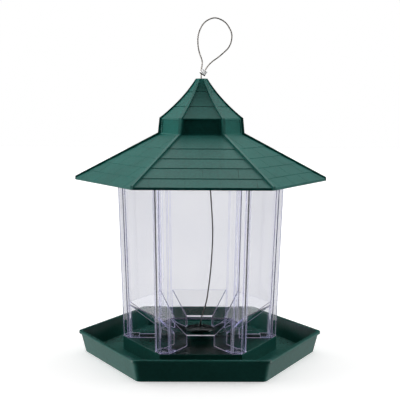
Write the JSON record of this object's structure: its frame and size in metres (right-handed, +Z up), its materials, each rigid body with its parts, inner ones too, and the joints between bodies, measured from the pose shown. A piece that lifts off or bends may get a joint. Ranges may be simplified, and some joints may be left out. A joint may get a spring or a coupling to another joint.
{
  "type": "hanging gravity bird feeder",
  "caption": "Hexagonal gazebo seed feeder: clear hopper with seed ports under a shingled roof, standing in a wide tray, hung on a wire loop.",
  "frame": {"origin": "centre of the tray's underside, on the surface the feeder stands on", "axes": "+Z up along the wire; the flats of the hexagon face +Y and -Y, its corners point along +X and -X; the hanging loop leans towards +X; -Y is the front"},
  "size_m": [0.235, 0.2048, 0.3145],
  "materials": {
    "tray_plastic": "dark green injection-moulded plastic, smooth and fairly glossy",
    "roof_plastic": "dark green injection-moulded plastic with a fine satin grain",
    "clear_plastic": "clear polystyrene, glossy, faintly blue at its edges",
    "steel_wire": "stranded galvanised steel wire rope",
    "crimp_metal": "soft bright aluminium, crimped",
    "washer_metal": "zinc-plated steel"
  },
  "bodies": {
    "tray": {"tray": "tray_plastic"},
    "hopper": {"hopper": "clear_plastic"},
    "roof": {"roof": "roof_plastic"},
    "washer": {"stop_washer": "washer_metal"},
    "hanger": {"hanger_wire": "steel_wire", "hanging_loop": "steel_wire", "loop_crimp": "crimp_metal", "stop_crimp": "crimp_metal"}
  },
  "joints": [
    {"name": "hopper_lift", "type": "slide", "parent": "tray", "child": "hopper", "axis": [0, 0, 1], "range_m": [0, 0.002]},
    {"name": "roof_lift", "type": "slide", "parent": "hopper", "child": "roof", "axis": [0, 0, 1], "range_m": [0, 0.045], "deforming": ["hanging_loop", "loop_crimp"]},
    {"name": "wire_slide", "type": "slide", "parent": "tray", "child": "washer", "axis": [0, 0, 1], "range_m": [-0.0024, 0]},
    {"name": "hanger_spin", "type": "hinge", "parent": "washer", "child": "hanger", "pos_m": [0, 0, 0.02], "axis": [0, 0, 1], "continuous": true}
  ]
}
